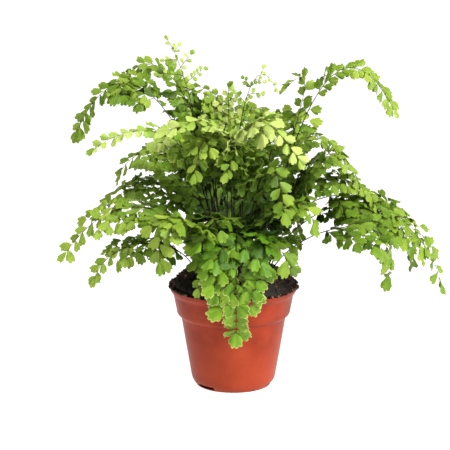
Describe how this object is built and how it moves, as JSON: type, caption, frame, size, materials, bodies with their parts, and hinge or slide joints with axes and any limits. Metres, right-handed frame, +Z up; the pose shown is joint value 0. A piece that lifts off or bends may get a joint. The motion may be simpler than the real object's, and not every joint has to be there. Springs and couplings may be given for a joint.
{
  "type": "potted maidenhair fern",
  "caption": "Bushy maidenhair fern with arching wiry fronds of small lobed fan-shaped leaflets, growing in a plain terracotta-coloured round nursery pot of dark soil.",
  "frame": {"origin": "middle of the pot's flat base, on the surface the pot stands on", "axes": "+Z up along the pot's axis; -Y is the front, the side that the picture shows; +X is to the right in the picture"},
  "size_m": [0.3588, 0.23, 0.3283],
  "materials": {
    "pot_plastic": "satin moulded plastic",
    "soil": "crumbly and matt",
    "frond_fresh": "thin soft leaf, slightly translucent",
    "frond_deep": "thin soft leaf, slightly translucent",
    "frond_pale": "thin young leaf, translucent"
  },
  "bodies": {
    "root": {"pot": "pot_plastic", "potting_soil": "soil", "frond_left_arch_high": "frond_fresh", "frond_left_arch_top": "frond_fresh", "frond_left_arch_back": "frond_fresh", "frond_left_inner": "frond_fresh", "frond_left_pale": "frond_pale", "frond_left_mid": "frond_deep", "frond_left_low_upper": "frond_deep", "frond_left_long_low": "frond_fresh", "frond_left_lowest": "frond_fresh", "frond_front_left": "frond_fresh", "frond_front_drape": "frond_fresh", "frond_front_low_left": "frond_fresh", "frond_front_upright": "frond_fresh", "frond_front_right": "frond_fresh", "frond_front_middle": "frond_fresh", "frond_front_hanging": "frond_fresh", "frond_bright_right": "frond_pale", "frond_bright_left": "frond_pale", "frond_right_arch_high": "frond_fresh", "frond_right_arch_back": "frond_fresh", "frond_right_mid_high": "frond_deep", "frond_right_mid": "frond_deep", "frond_right_mid_low": "frond_deep", "frond_right_long": "frond_fresh", "frond_right_low": "frond_fresh", "frond_right_low_back": "frond_fresh", "frond_right_fore": "frond_fresh", "frond_fore_hanging": "frond_fresh", "frond_young_left": "frond_pale", "frond_young_right": "frond_pale", "frond_top_middle": "frond_pale", "frond_back_1": "frond_fresh", "frond_back_2": "frond_fresh", "frond_back_3": "frond_fresh", "frond_back_4": "frond_fresh", "frond_back_5": "frond_fresh", "frond_back_6": "frond_fresh", "frond_back_7": "frond_fresh", "frond_back_8": "frond_fresh"}
  },
  "joints": []
}
